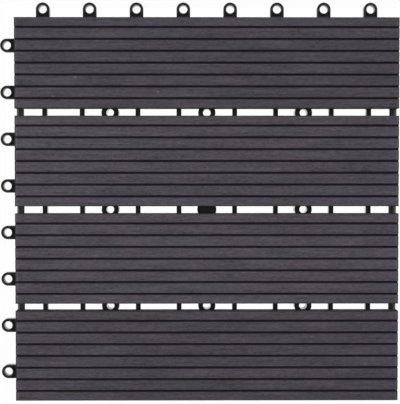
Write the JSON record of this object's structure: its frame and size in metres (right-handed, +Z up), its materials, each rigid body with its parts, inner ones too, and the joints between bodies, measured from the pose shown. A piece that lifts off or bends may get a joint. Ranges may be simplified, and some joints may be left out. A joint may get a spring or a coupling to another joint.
{
  "type": "interlocking deck tile",
  "caption": "Square outdoor deck tile of grooved composite slats on a moulded plastic base with loops and pegs that lock it to its neighbours.",
  "frame": {"origin": "middle of the tile on the ground, at the underside of the middle post", "axes": "+Z up, X along the slats, loops on the -X and +Y sides, pegs on the +X and -Y sides"},
  "size_m": [0.3138, 0.3138, 0.022],
  "materials": {
    "composite": "charcoal wood-plastic composite, brushed along its length, matt",
    "black_plastic": "black moulded polyolefin, fine satin texture",
    "screw_steel": "plain stainless steel"
  },
  "bodies": {
    "root": {"base_grid": "black_plastic", "slat_1": "composite", "slat_2": "composite", "slat_3": "composite", "slat_4": "composite", "slat_screws": "screw_steel"}
  },
  "joints": []
}
